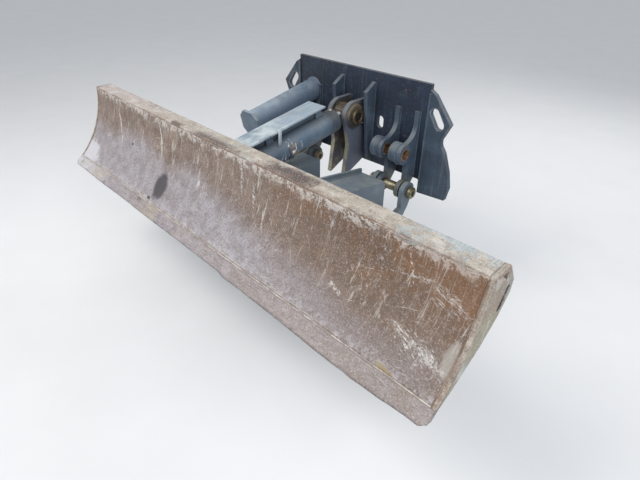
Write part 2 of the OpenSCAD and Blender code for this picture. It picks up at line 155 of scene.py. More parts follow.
def arm_z(y):
    """Height of an arm's top plate."""
    return ARM_TOP - (y - ARM_REAR) * ARM_SLOPE


def on_cylinder(s, side=0.0, up=0.0):
    """Point of the closed cylinder: s from the base pin, side toward +X, up off its axis."""
    return BASE + s * CYL_DIR + up * CYL_UP + Vector((side, 0, 0))


def spread(a, b, n):
    return [a + (b - a) * i / n for i in range(n + 1)]


def ramp(v, lo, hi):
    t = min(1.0, max(0.0, (v - lo) / (hi - lo)))
    return t * t * (3 - 2 * t)


def wobble(*p):
    return noise.noise(Vector(p))


# Materials
def linear(colour):
    return tuple(((c / 255 + 0.055) / 1.055) ** 2.4 for c in colour) + (1.0,)


class Nodes:
    """Short calls for the nodes of a material or the world."""

    def __init__(self, holder):
        holder.use_nodes = True
        self.tree = holder.node_tree
        self.tree.nodes.clear()

    def add(self, kind, **settings):
        node = self.tree.nodes.new("ShaderNode" + kind)
        for key, value in settings.items():
            setattr(node, key, value)
        return node

    def put(self, socket, value):
        """Links or sets a socket. (node, lo, hi) stands for a step, (red, green, blue) for a colour."""
        if isinstance(value, tuple) and len(value) == 3:
            value = self.step(*value) if isinstance(value[0], bpy.types.NodeSocket) else linear(value)
        if isinstance(value, bpy.types.NodeSocket):
            self.tree.links.new(value, socket)
        else:
            socket.default_value = value

    def calc(self, operation, a, b=0.5):
        node = self.add("Math", operation=operation)
        self.put(node.inputs[0], a)
        self.put(node.inputs[1], b)
        return node.outputs[0]

    def plus(self, a, b):
        return self.calc("ADD", a, b)

    def minus(self, a, b):
        return self.calc("SUBTRACT", a, b)

    def size(self, v):
        return self.calc("ABSOLUTE", v)

    def flip(self, v):
        return self.minus(1.0, v)

    def fold(self, operation, values):
        result = values[0]
        for value in values[1:]:
            result = self.calc(operation, result, value)
        return result

    def mul(self, *values):
        return self.fold("MULTIPLY", values)

    def most(self, *values):
        return self.fold("MAXIMUM", values)

    def sum(self, *values):
        """Sum kept between 0 and 1."""
        return self.calc("MAXIMUM", self.calc("MINIMUM", self.fold("ADD", values), 1.0), 0.0)

    def length(self, *parts):
        return self.calc("SQRT", self.fold("ADD", [self.mul(p, p) for p in parts]))

    def step(self, v, lo, hi):
        """0 at lo and 1 at hi, smooth between them."""
        node = self.add("MapRange", interpolation_type="SMOOTHSTEP")
        for i, value in enumerate((v, lo, hi)):
            self.put(node.inputs[i], value)
        return node.outputs[0]

    def mix(self, share, a, b):
        """Colour a where share is 0 and b where it is 1."""
        node = self.add("Mix", data_type="RGBA")
        for i, value in ((0, share), (6, a), (7, b)):
            self.put(node.inputs[i], value)
        return node.outputs[2]


class Finish(Nodes):
    """A material. Its colour is what has been laid so far."""

    def __init__(self, name):
        self.material = bpy.data.materials.new(name)
        super().__init__(self.material)
        self.shader = self.add("BsdfPrincipled")
        self.put(self.add("OutputMaterial").inputs[0], self.shader.outputs[0])
        self.here = self.add("TexCoord").outputs["Object"]
        self.normal = self.add("NewGeometry").outputs["Normal"]
        self.nx, self.ny, self.nz = self.split(self.normal)
        self.x, self.y, self.z = self.split(self.here)
        self.crumb = None

    def split(self, vector):
        node = self.add("SeparateXYZ")
        self.put(node.inputs[0], vector)
        return node.outputs

    def lay(self, colour, *masks):
        """Colour laid over the rest where all masks are 1."""
        self.colour = self.mix(self.mul(*masks), self.colour, colour)

    def noise(self, scale, detail=4.0, rough=0.55, vector=None, warp=0.0):
        node = self.add("TexNoise")
        for key, value in (("Vector", vector or self.here), ("Scale", scale), ("Detail", detail),
                           ("Roughness", rough), ("Distortion", warp)):
            self.put(node.inputs[key], value)
        return node.outputs[0]

    def lines(self, scale, turn=(0, 0, 0), shift=(0, 0, 0), detail=5, rough=0.7):
        """Noise drawn out into lines: a small scale along them, large ones across, turned in degrees."""
        turned = self.add("Mapping", vector_type="POINT")
        self.put(turned.inputs[0], self.here)
        turned.inputs[1].default_value = shift
        turned.inputs[2].default_value = [radians(t) for t in turn]
        stretched = self.add("Mapping", vector_type="POINT")
        self.put(stretched.inputs[0], turned.outputs[0])
        stretched.inputs[3].default_value = scale
        return self.noise(1, detail, rough, stretched.outputs[0])

    def ragged(self, amount):
        """Fine noise round 0 that makes a rim ragged."""
        if self.crumb is None:
            self.crumb = self.minus(self.noise(34, 6, 0.7), 0.5)
        return self.mul(self.crumb, amount)

    def blot(self, x, z, rx, rz, turn=0.0, ragged=0.5, soft=0.5):
        """1 inside an oval of the face, in X and Z, with a ragged rim."""
        c, s = cos(radians(turn)), sin(radians(turn))
        dx, dz = self.minus(self.x, x), self.minus(self.z, z)
        u = self.plus(self.mul(dx, c / rx), self.mul(dz, s / rx))
        v = self.plus(self.mul(dx, -s / rz), self.mul(dz, c / rz))
        d = self.plus(self.plus(self.mul(u, u), self.mul(v, v)), self.ragged(ragged * 4))
        return self.step(d, 1.0 + soft, max(0.0, 1.0 - soft))

    def blots(self, ovals, *rest):
        return self.most(*[self.blot(*oval, *rest) for oval in ovals])

    def off_axis(self, p, ragged=0.0):
        """Distance from the line along X through p."""
        d = self.length(self.minus(self.y, p.y), self.minus(self.z, p.z))
        return self.plus(d, self.ragged(ragged)) if ragged else d

    def near(self, p, radius, ragged=1.2):
        """1 close to a point, 0 beyond radius, with a ragged rim."""
        d = self.length(self.minus(self.x, p.x), self.minus(self.y, p.y), self.minus(self.z, p.z))
        return self.step(self.plus(d, self.ragged(ragged * radius)), radius, radius * 0.55)

    def rounded(self, radius):
        """Normal of the surface with its edges rounded."""
        bevel = self.add("Bevel", samples=4)
        self.put(bevel.inputs[0], radius)
        return bevel.outputs[0]

    def edge(self, radius, lo=0.03, hi=0.25):
        """1 on edges and 0 on flats: how far the rounded normal turns from the true one."""
        dot = self.add("VectorMath", operation="DOT_PRODUCT")
        self.put(dot.inputs[0], self.rounded(radius))
        self.put(dot.inputs[1], self.normal)
        return self.step(self.flip(dot.outputs[1]), lo, hi)

    def nook(self, distance):
        """1 in corners and under things, 0 in the open."""
        node = self.add("AmbientOcclusion", samples=6)
        self.put(node.inputs["Distance"], distance)
        return self.flip(node.outputs["AO"])

    def bump(self, *layers, soft=0.0025):
        """Heights in metres over one another, on edges rounded by soft."""
        normal = self.rounded(soft)
        for height, metres in layers:
            node = self.add("Bump", invert=metres < 0)
            self.put(node.inputs["Distance"], abs(metres))
            self.put(node.inputs["Height"], height)
            self.put(node.inputs["Normal"], normal)
            normal = node.outputs[0]
        self.put(self.shader.inputs["Normal"], normal)

    def shade(self, rough, metal=0.0, spec=0.5):
        for name, value in (("Base Color", self.colour), ("Roughness", rough), ("Metallic", metal),
                            ("Specular IOR Level", spec)):
            self.put(self.shader.inputs[name], value)


RUST, RUST_LIGHT = (92, 60, 42), (140, 92, 58)
DUST, STEEL = (140, 142, 136), (165, 160, 150)
# Colours of grime and painted shade in corners, and of grease
GRIME_AND_SHADE, GREASE = (46, 40, 33), (62, 54, 36)


def paint_ground(mat, base, shade, light, run):
    """Patches of three shades, and runs down the sides."""
    mat.colour = mat.mix((mat.noise(1.9, 3), 0.35, 0.65), shade, base)
    mat.lay(light, (mat.mid, 0.48, 0.72), 0.45)
    runs = mat.lines((46, 46, 2.2), rough=0.6)
    mat.lay(mat.mix(0.5, base, DUST), (runs, 0.52, 0.7), run)
    mat.lay(shade, (runs, 0.45, 0.25), 0.35)


def paint_scuffs(mat, light, amount):
    """Short scratches in two directions."""
    one = mat.step(mat.lines((4, 4, 190), (18, 0, 25), detail=2, rough=0.5), 0.69, 0.73)
    two = mat.step(mat.lines((210, 5, 5), (0, 34, 12), detail=2, rough=0.5), 0.7, 0.74)
    scuffs = mat.mul(mat.most(one, two), (mat.mid, 0.4, 0.6), amount)
    mat.lay(mat.mix(0.5, light, STEEL), scuffs)
    return scuffs


def paint_dust(mat, amount):
    """Dust on what faces up, and fine specks of it all over."""
    settled = mat.mul((mat.nz, 0.15, 0.85), (mat.mid, 0.3, 0.62), amount)
    dust = mat.sum(settled, mat.mul((mat.fine, 0.55, 0.7), 0.15))
    mat.lay(DUST, dust)
    return dust


def paint_wear(mat, light, chips, edges):
    """Edges rubbed bare and chips, with rust round them."""
    edge, chip = mat.edge(0.006), mat.noise(19, 9, 0.68)
    uneven = mat.step(mat.sum(mat.mul(mat.fine, 0.6), mat.mul(mat.mid, 0.5)), 0.48, 0.64)
    worn = mat.most(mat.mul(edge, uneven, edges), mat.mul((chip, 0.67, 0.685), chips))
    rust = mat.mul(mat.most(mat.mul(edge, 0.4), (chip, 0.635, 0.675)), max(chips, 0.35))
    mat.lay(RUST, rust, 0.4)
    mat.lay(mat.mix((mat.fine, 0.36, 0.54), RUST_LIGHT, mat.mix(0.45, light, STEEL)), worn)
    return worn


def worn_paint(name, base, shade, light, dust=0.3, chips=0.3, edges=0.8, rough=0.5, grime_and_shade=0.6,
               scuff=0.3, run=0.3, stains_and_light=None):
    """Old paint: patches, runs, scuffs, dust on top, grime and painted shade in corners, chips and worn
    edges.
    """
    mat = Finish(name)
    mat.mid, mat.fine = mat.noise(11, 6, 0.6), mat.noise(85, 5, 0.65)
    paint_ground(mat, base, shade, light, run)
    scuffs = paint_scuffs(mat, light, scuff)
    dust = paint_dust(mat, dust)
    # Stains, and for the tube and the barrel also painted light and shade.
    if stains_and_light:
        stains_and_light(mat)
    # Grime and painted shade: darker in corners and where parts meet, found by occlusion.
    dirt_and_shade = mat.mul((mat.nook(0.05), 0.25, 0.8), (mat.fine, 0.25, 0.6), grime_and_shade)
    mat.lay(GRIME_AND_SHADE, dirt_and_shade)
    worn = paint_wear(mat, light, chips, edges)
    mat.shade(mat.sum(rough, mat.mul(mat.mid, 0.15), mat.mul(dust, 0.35), mat.mul(dirt_and_shade, 0.2)),
              mat.mul(worn, (mat.fine, 0.45, 0.6), 0.6), 0.45)
    mat.bump((mat.noise(7, 2), 0.0025), (mat.fine, 0.0005), (mat.flip(worn), 0.0006), (scuffs, -0.0004))
    return mat.material


def clevis_stain_and_shade(mat):
    """Brown grease round the pin, grease and painted shade on the plates' inner faces, and old pale grease
    down the plates' front edges.
    """
    mat.lay(mat.mix(mat.fine, (108, 96, 70), (188, 184, 158)), (mat.ny, -0.5, -0.9),
            (mat.z, -0.03, -0.09), (mat.mid, 0.28, 0.5), 0.85)
    # The plates' inner faces dark brown: grease, and painted shade between the plates.
    inner = mat.mul((mat.size(mat.x), CLEVIS_IN + 0.0015, CLEVIS_IN - 0.0005), 0.8)
    round_pin = mat.mul((mat.off_axis(HEAD, 0.05), 0.082, 0.052), 0.85)
    mat.lay(mat.mix((mat.mid, 0.42, 0.62), (52, 43, 32), (118, 104, 72)), mat.most(inner, round_pin))


def lug_stain(mat):
    """Rust in and round the spare bores, pale mud low down, and grease round the hinge pins."""
    bore = mat.step(mat.off_axis(SPARE), SPARE_R + 0.0012, SPARE_R + 0.0002)
    rim = mat.mul((mat.off_axis(SPARE, 0.016), 0.037, 0.027), 0.7)
    mat.lay(mat.mix((mat.fine, 0.4, 0.62), (92, 62, 40), (170, 132, 92)), mat.most(bore, rim))
    mat.lay((124, 122, 100), (mat.z, -0.17, -0.27), (mat.mid, 0.36, 0.6), 0.6)
    mat.lay(GREASE, (mat.off_axis(HINGE, 0.02), 0.052, 0.03), 0.8)


def slot_stain(mat):
    """Paint rubbed pale round the slots of the side plates."""
    slots = [mat.near(Vector((side * SLOT.x, SLOT.y, SLOT.z)), 0.10, 0.5) for side in (-1, 1)]
    mat.lay(mat.mix((mat.fine, 0.4, 0.6), (120, 110, 108), (150, 164, 176)),
            mat.most(*slots), mat.edge(0.012, 0.01, 0.12), 0.75)


def tube_light_and_wear(mat):
    """A painted highlight lightens the tube's top, and the cap's corners are rubbed bare."""
    # Painted highlight: the tube's top lighter, as if lit from above.
    mat.lay((158, 172, 184), (mat.nz, 0.5, 1.0), (mat.mid, 0.36, 0.6), 0.35)
    mat.lay((196, 204, 206), mat.near(TUBE_END, 0.11, 0.3), mat.edge(0.008, 0.02, 0.14),
            (mat.fine, 0.34, 0.5), 0.85)


def strip_stain(mat):
    """The strip is bleached toward the blade, and scraped in long lines."""
    mat.lay((204, 212, 214), (mat.y, -0.40, -0.66), (mat.mid, 0.36, 0.6), 0.6)
    mat.lay((214, 220, 222), (mat.lines((150, 5, 5)), 0.54, 0.66), 0.5)


def barrel_shade_and_stains(mat):
    """Painted shadow of the strip on the top, darker underneath, oil at the gland, brown and bright marks
    round the port.
    """
    # Painted shadow of the strip: the barrel's top darker.
    mat.lay((62, 70, 78), (mat.nz, 0.55, 0.95), 0.5)
    # Darker at the gland from oil, and darker on the underside.
    gland = mat.near(on_cylinder(GLAND_END), 0.12, 0.8)
    mat.lay((44, 42, 40), mat.most(gland, (mat.nz, -0.2, -0.8)), 0.6)
    port = mat.near(on_cylinder(0.215, 0.052, -0.01), 0.075)
    mat.lay((108, 94, 80), port, (mat.mid, 0.48, 0.6), 0.6)
    mat.lay((216, 220, 220), port, (mat.lines((60, 60, 8)), 0.55, 0.62), 0.9)


def steel(name, base, dark, rough=0.4, grease=0.0, rust=0.4, metal=0.85, hub=None, hub_r=0.0):
    """Bare steel with brown patches, grease where it is asked for, darker in corners as painted shade, and a
    dark middle round hub painted as the shade of a recess.
    """
    mat = Finish(name)
    mid, fine = mat.noise(14, 6, 0.62), mat.noise(120, 5, 0.7)
    drawn = mat.lines((9, 300, 300), detail=3, rough=0.6)
    mat.colour = mat.mix((mid, 0.4, 0.62), dark, base)
    mat.lay(STEEL, (drawn, 0.5, 0.7), 0.35)
    spots = mat.mul((mat.noise(26, 8, 0.7), 0.5, 0.62), rust)
    mat.lay(mat.mix(fine, RUST, RUST_LIGHT), spots)
    # Grease pools, also laid in corners by occlusion as painted shade.
    pools_and_shade = mat.sum(mat.mul(mat.noise(17, 4), 0.6), mat.mul(mat.nook(0.03), 0.6))
    grease_and_shade = mat.mul((pools_and_shade, 0.3, 0.6), grease)
    mat.lay(GREASE, grease_and_shade)
    mat.lay((190, 184, 168), mat.edge(0.004), (fine, 0.3, 0.55), 0.7)
    shine = mat.mul(metal, mat.flip(spots), mat.flip(mat.mul(grease_and_shade, 0.7)))
    # The dark middle round the hub is painted shade standing for a recess in the pin's end.
    if hub:
        middle = mat.step(mat.off_axis(hub, 0.006), hub_r * 1.06, hub_r * 0.94)
        mat.lay((34, 29, 27), middle)
        shine = mat.mul(shine, mat.flip(middle))
    mat.shade(mat.sum(rough, mat.mul(spots, 0.35), mat.mul(fine, 0.12), mat.mul(grease_and_shade, -0.15)), shine)
    mat.bump((mid, 0.0008), (fine, 0.0004), (drawn, 0.0002), soft=0.0015)
    return mat.material


def salted(mat, pale, dark, amount):
    """Fine grains of pale and dark, a few millimetres across."""
    grain = mat.noise(170, 4, 0.65)
    mat.lay(pale, (grain, 0.52, 0.66), amount)
    mat.lay(dark, (grain, 0.47, 0.34), amount)


def face_ground(mat):
    """Mauve grey below and to the left, brown and orange above and to the right."""
    high, right = mat.step(mat.z, -0.28, 0.03), mat.step(mat.x, -0.95, 1.05)
    share = mat.sum(mat.mul(high, 0.5), mat.mul(right, 0.24), mat.mul(mat.big, 0.5), -0.20)
    brown = mat.step(share, 0.24, 0.5)
    mat.colour = mat.mix((mat.mid, 0.36, 0.64), (136, 128, 130), (160, 155, 160))
    mat.lay((122, 108, 102), (mat.x, 0.3, 1.1), 0.85)
    mat.lay(mat.mix((mat.mid, 0.34, 0.66), (102, 84, 72), (130, 112, 98)), brown, 0.92)
    mat.lay((92, 67, 47), (mat.x, 0.1, 0.9), high, (mat.mid, 0.3, 0.5), 0.85)
    mat.lay(mat.mix(mat.mid, (98, 68, 42), (138, 100, 66)),
            (mat.noise(6.5, 8, 0.68, warp=0.6), 0.46, 0.66), brown, (mat.x, -0.1, 0.9),
            (mat.z, -0.24, 0.0), 0.8)
    mat.lay((146, 112, 84), (mat.noise(8, 8, 0.7, warp=0.5), 0.56, 0.7), brown, 0.4)
    mat.lay((88, 74, 68), (mat.noise(5.2, 8, 0.66), 0.54, 0.72), mat.sum(mat.mul(brown, 0.34), 0.12))


def face_grain(mat):
    """Pale flecks, dark pits and fine grains."""
    mat.lay((196, 190, 187), (mat.lines((84, 84, 34), detail=6, rough=0.75), 0.54, 0.64),
            (mat.noise(6, 5), 0.38, 0.6), 0.5)
    mat.lay((92, 78, 72), (mat.noise(110, 5, 0.7), 0.54, 0.64), 0.55)
    salted(mat, (196, 190, 186), (76, 64, 58), 0.32)


def face_borders(mat):
    """Pale chips under the rim, and a mottled band along the seam."""
    mottle = mat.noise(46, 8, 0.76)
    mat.lay((208, 202, 196), (mat.plus(mat.z, mat.ragged(0.11)), 0.018, 0.048), (mottle, 0.46, 0.54), 0.65)
    from_seam = mat.size(mat.minus(mat.z, arc(FACE_R, SEAM_A).z))
    mat.lay((198, 195, 198), (from_seam, 0.036, 0.004), (mottle, 0.44, 0.6), 0.5)


def face_runs(mat):
    """Runs down from the rim: a fine comb, broad ones and two long lines. Returns the broad ones."""
    mat.lay((190, 183, 176), (mat.lines((150, 9, 9), detail=6, rough=0.72), 0.53, 0.66),
            (mat.z, -0.24, 0.05), (mat.noise(5, 5, 0.6), 0.36, 0.6), 0.75)
    broad = mat.mul((mat.lines((44, 5, 4), (0, -6, 0), detail=6, rough=0.74), 0.59, 0.66),
                    (mat.z, -0.32, -0.1), 0.7)
    mat.lay((202, 196, 190), broad)
    mat.lay((212, 208, 204), mat.blots(LONG_RUNS), (mat.noise(70, 5, 0.7), 0.4, 0.5), 0.85)
    return broad


def face_scrapes(mat):
    """Fine scratches in two directions, and bright gouges. Returns where they are."""
    one = mat.step(mat.lines((10, 10, 150), (0, 14, 0), detail=4, rough=0.66), 0.63, 0.69)
    two = mat.step(mat.lines((130, 9, 9), (0, 36, 0), (0.3, 0, 0), detail=4, rough=0.66), 0.64, 0.70)
    here_and_there = mat.mul((mat.noise(4.4, 4), 0.46, 0.6), 0.7)
    where = mat.most(here_and_there, *[mat.blot(*oval) for oval in SCRATCHED])
    scratches = mat.mul(mat.most(one, two), where)
    mat.lay((206, 200, 194), scratches, 0.9)
    gouges = mat.mul((mat.lines((34, 34, 240), (0, -18, 0), detail=5), 0.53, 0.6),
                     (mat.noise(40, 5, 0.7), 0.4, 0.52), mat.blots(GOUGED))
    mat.lay((222, 218, 214), gouges, 0.85)
    return mat.most(scratches, gouges)


def face_marks(mat):
    """Single chips and drips, the marks and the dark stains, where the photograph has them."""
    mat.lay((218, 214, 210), mat.blots(CHIPS, 1.5, 0.8),
            (mat.lines((60, 60, 150), (0, -20, 0), rough=0.75), 0.48, 0.56), 0.75)
    for colour, strength, oval in MARKS:
        mat.lay(colour, mat.blot(*oval), strength)
    mat.lay((60, 56, 59), mat.blots(STAINS), 0.9)


def scoured_board(name):
    """The board: a scoured face in front, and paint on its back."""
    mat = Finish(name)
    mat.big = mat.noise(2.6, 6, 0.62, warp=0.5)
    mat.mid, mat.fine = mat.noise(19, 8, 0.7), mat.noise(130, 5, 0.72)
    face_ground(mat)
    face_grain(mat)
    face_borders(mat)
    broad = face_runs(mat)
    scrapes = face_scrapes(mat)
    face_marks(mat)
    mat.lay(mat.mix((mat.big, 0.4, 0.6), (84, 97, 110), (104, 112, 116)),
            (mat.ny, 0.1, 0.3), (mat.mid, 0.34, 0.5))
    mat.shade(mat.sum(0.52, mat.mul(mat.mid, 0.3), mat.mul(scrapes, -0.15)),
              mat.mul(mat.most(scrapes, broad), 0.35), 0.4)
    mat.bump((mat.noise(5, 3), 0.004), (mat.mid, 0.0014), (mat.fine, 0.0006), (scrapes, -0.0008), soft=0.002)
    return mat.material


def bare_rim(mat, base, paint_left):
    """Pale scraped steel, rusted brown, with blue-grey paint left. Returns what is covered, and runs."""
    mat.mid = mat.noise(24, 8, 0.72)
    mat.colour = mat.mix((mat.mid, 0.36, 0.62), (154, 146, 136), base)
    mat.lay((168, 156, 136), (mat.noise(3.1, 6, 0.66, warp=0.5), 0.45, 0.6), 0.4)
    mat.lay(mat.mix(mat.mid, (150, 138, 138), (200, 190, 190)), (mat.x, -0.3, -0.9), 0.6)
    share = mat.sum(mat.mul(mat.noise(10, 8, 0.7, warp=0.4), 0.9), mat.mul(mat.flip(mat.nz), 0.12))
    brown = mat.step(share, 0.5, 0.6)
    mat.lay(mat.mix(mat.mid, (112, 88, 74), (150, 122, 100)), brown, 0.62)
    blue = mat.mul((mat.noise(5.2, 8, 0.7), 0.5, 0.56), (mat.x, -0.6, 0.9), paint_left)
    mat.lay(mat.mix(mat.mid, (136, 152, 158), (172, 184, 186)), blue)
    runs = mat.step(mat.lines((110, 8, 8), rough=0.74), 0.56, 0.66)
    mat.lay((208, 203, 194), runs, 0.5)
    mat.lay((104, 88, 78), (mat.lines((7, 160, 160)), 0.56, 0.66), 0.5)
    mat.lay((76, 64, 57), (mat.noise(7.7, 7, 0.66), 0.6, 0.68), 0.55)
    return mat.sum(brown, blue), runs


def finish_rim(mat, covered, runs):
    """Bright scrapes, grains and rubbed edges, and the gloss and the dents."""
    mat.lay((212, 206, 197), (mat.noise(13, 7, 0.7), 0.52, 0.62), 0.4)
    salted(mat, (222, 214, 204), (96, 82, 74), 0.4)
    edge = mat.edge(0.007)
    mat.lay((202, 194, 184), edge, (mat.mid, 0.36, 0.52), 0.7)
    mat.lay((124, 90, 74), edge, (mat.mid, 0.5, 0.4), 0.5)
    mat.shade(mat.sum(0.48, mat.mul(mat.mid, 0.3)), mat.mul(mat.flip(covered), 0.25), 0.45)
    fine = mat.noise(130, 5, 0.72)
    mat.bump((mat.noise(12, 3), 0.0025), (mat.mid, 0.0014), (fine, 0.0006), (runs, -0.0004), soft=0.004)
    return mat.material


def rim_paint(name):
    """The top rail: dark stretches, brown creeping up from its front edge, and a brown lip."""
    mat = Finish(name)
    covered, runs = bare_rim(mat, (186, 178, 168), 0.8)
    stretches = []
    for x, half, ragged, faded, full, strength in RIM_STAINS:
        oval = mat.blot(x, RISE, half, 0.5, ragged=ragged)
        stretches.append(mat.mul(oval, (mat.y, faded, full), strength))
    mat.lay(mat.mix(mat.mid, (56, 44, 43), (96, 80, 77)), mat.most(*stretches))
    creep = mat.plus(mat.y, mat.mul(mat.minus(mat.noise(8, 8, 0.7), 0.5), 0.16))
    mat.lay(mat.mix(mat.mid, (104, 86, 76), (140, 120, 108)), (creep, -0.882, -0.896),
            (mat.noise(40, 6, 0.7), 0.36, 0.5), (mat.x, -1.2, 0.2), 0.5)
    mat.lay(mat.mix(mat.mid, (104, 82, 68), (140, 114, 96)), (mat.ny, -0.5, -0.9),
            (mat.noise(14, 7, 0.7), 0.44, 0.56), 0.75)
    return finish_rim(mat, covered, runs)


def end_paint(name):
    """End plates: grey-blue above, yellowish below, brown along the face and dark blue-grey in the right
    hole, partly painted shade.
    """
    mat = Finish(name)
    covered, runs = bare_rim(mat, (142, 140, 126), 0.7)
    mat.lay((150, 150, 128), (mat.z, -0.04, -0.10), 0.5)
    from_arc = mat.plus(mat.length(mat.minus(mat.y, ARC_Y), mat.minus(mat.z, ARC_Z)), mat.ragged(0.03))
    mat.lay(mat.mix((mat.mid, 0.4, 0.6), (126, 108, 96), (156, 142, 130)),
            (from_arc, FACE_R + 0.030, FACE_R + 0.008), (mat.z, 0.02, -0.14), 0.9)
    # Inside the right hole: blue-grey paint, darkened as painted shade of the recess.
    mat.lay((50, 58, 66), mat.near(END_HOLE, 0.075, 0.0), (mat.size(mat.nx), 0.6, 0.4), 0.9)
    return finish_rim(mat, covered, runs)


def edge_steel(name):
    """Cutting edge: the face's mauve grey, scraped along its length and pale toward its left end."""
    mat = Finish(name)
    mid, fine = mat.noise(22, 8, 0.72), mat.noise(130, 5, 0.74)
    mat.colour = mat.mix((mid, 0.36, 0.64), (130, 122, 126), (158, 151, 155))
    mat.lay(mat.mix(mid, (122, 110, 104), (156, 144, 136)), (mat.x, -0.2, 0.8), 0.6)
    mat.lay((204, 203, 208), (mat.x, -0.7, -1.2), (mid, 0.3, 0.5), 0.75)
    brown = mat.step(mat.noise(6, 8, 0.7, warp=0.4), 0.52, 0.66)
    mat.lay((132, 114, 98), brown, 0.45)
    mat.lay((178, 168, 148), (mat.noise(3.4, 5), 0.5, 0.62), (mat.x, 0.2, -0.5), 0.5)
    drag = mat.step(mat.lines((6, 170, 170)), 0.55, 0.64)
    mat.lay((196, 190, 188), drag, 0.55)
    mat.lay((88, 78, 78), (mat.lines((5, 150, 150), shift=(0.4, 0, 0)), 0.58, 0.66), 0.5)
    mat.lay((90, 80, 82), (mat.noise(80, 5, 0.72), 0.56, 0.66), 0.5)
    salted(mat, (210, 204, 202), (84, 74, 74), 0.35)
    mat.lay((80, 74, 76), mat.blots(EDGE_STAINS), 0.5)
    mat.lay((196, 186, 172), mat.edge(0.008), (mid, 0.34, 0.5), 0.75)
    mat.shade(mat.sum(0.44, mat.mul(mid, 0.3)), mat.mul(mat.flip(brown), 0.3), 0.45)
    mat.bump((mat.noise(9, 3), 0.003), (mid, 0.0016), (fine, 0.0007), (drag, -0.0005), soft=0.004)
    return mat.material


def weld(name, pale, dark):
    """Old weld bead: rubbed pale in patches, with specks of rust."""
    mat = Finish(name)
    mid, fine = mat.noise(20, 7, 0.7), mat.noise(150, 5, 0.72)
    mat.colour = mat.mix((mid, 0.42, 0.6), dark, pale)
    mat.lay(RUST_LIGHT, (fine, 0.5, 0.68), 0.5)
    mat.shade(mat.sum(0.45, mat.mul(mid, 0.3)), mat.mul((mid, 0.5, 0.6), 0.4))
    mat.bump((fine, 0.0006), soft=0.0015)
    return mat.material


def chrome(name):
    """The rod: chrome with a brown film in patches and fine grinding lines."""
    mat = Finish(name)
    film = mat.noise(9, 4)
    mat.colour = mat.mix(mat.mul((film, 0.45, 0.7), 0.5), (190, 192, 194), (112, 100, 80))
    mat.shade(mat.sum(0.18, mat.mul(film, 0.2)), 0.95)
    mat.bump((mat.lines((400, 12, 12), detail=3, rough=0.5), 0.0001), soft=0.001)
    return mat.material


# Paints: base, shade and light colour, and what differs in their wear
PAINTS = {
    # The chassis paint is darkened as painted shade: the counterweight's shadow on the end plate.
    "chassis": ((34, 47, 66), (25, 34, 48), (46, 62, 84), dict(dust=0.2, edges=0.6, grime_and_shade=0.8, run=0.12)),
    "side": ((56, 70, 85), (42, 52, 64), (78, 95, 112), dict(dust=0.25, grime_and_shade=0.7, stains_and_light=slot_stain)),
    "clevis": ((96, 103, 118), (74, 80, 93), (124, 130, 142),
               dict(dust=0.2, edges=0.5, grime_and_shade=0.5, stains_and_light=clevis_stain_and_shade)),
    "frame": ((68, 83, 100), (52, 64, 78), (96, 113, 130),
              dict(dust=0.35, chips=0.35, edges=0.6, rough=0.45, grime_and_shade=0.8, stains_and_light=lug_stain)),
    "arm": ((104, 116, 126), (88, 100, 110), (128, 138, 144), dict(dust=0.4, edges=0.6)),
    # The far arm's paint is a darker copy of the arm's, as painted shade.
    "far_arm_in_shade": ((66, 75, 84), (50, 57, 64), (88, 98, 106), dict(dust=0.25, edges=0.5, grime_and_shade=0.9)),
    "tube": ((112, 129, 148), (90, 105, 122), (146, 162, 176),
             dict(edges=0.7, rough=0.4, scuff=0.6, stains_and_light=tube_light_and_wear)),
    "barrel": ((92, 110, 128), (72, 87, 103), (120, 137, 152),
               dict(edges=0.6, rough=0.4, scuff=0.5, stains_and_light=barrel_shade_and_stains)),
    "strip": ((140, 156, 170), (118, 134, 148), (180, 191, 198),
              dict(dust=0.2, chips=0.35, rough=0.42, scuff=0.8, stains_and_light=strip_stain)),
    "back": ((92, 106, 120), (70, 80, 92), (116, 130, 142), dict(dust=0.6, chips=0.7, rough=0.55, grime_and_shade=0.9)),
}
LOOKS = {
    "board": scoured_board("scoured_face"),
    "rim": rim_paint("scraped_rim"),
    "end": end_paint("scraped_end"),
    "edge": edge_steel("scraped_edge"),
    "seam": weld("pale_seam", (200, 193, 184), (154, 144, 136)),
    "weld": weld("brown_weld", (150, 136, 124), (110, 90, 76)),
    "grease": steel("greased_pin", (104, 94, 70), (66, 57, 42), 0.42, grease=0.9),
    "eye": steel("greased_eye", (74, 66, 50), (42, 37, 30), 0.45, grease=0.9, rust=0.3, metal=0.5),
    "head": steel("head_pin_steel", (128, 118, 88), (76, 66, 48), grease=0.8, rust=0.3, hub=HEAD,
                  hub_r=0.023),
    "hinge": steel("hinge_pin_steel", (160, 156, 130), (104, 98, 76), grease=0.5, rust=0.3, hub=HINGE,
                   hub_r=0.012),
    "fitting": steel("bright_fitting", (198, 196, 186), (148, 142, 126), 0.35, grease=0.2, rust=0.2),
    "chrome": chrome("rod_chrome_used"),
}
for look, (base, shade, light, wear) in PAINTS.items():
    LOOKS[look] = worn_paint(look + "_paint_worn", base, shade, light, **wear)
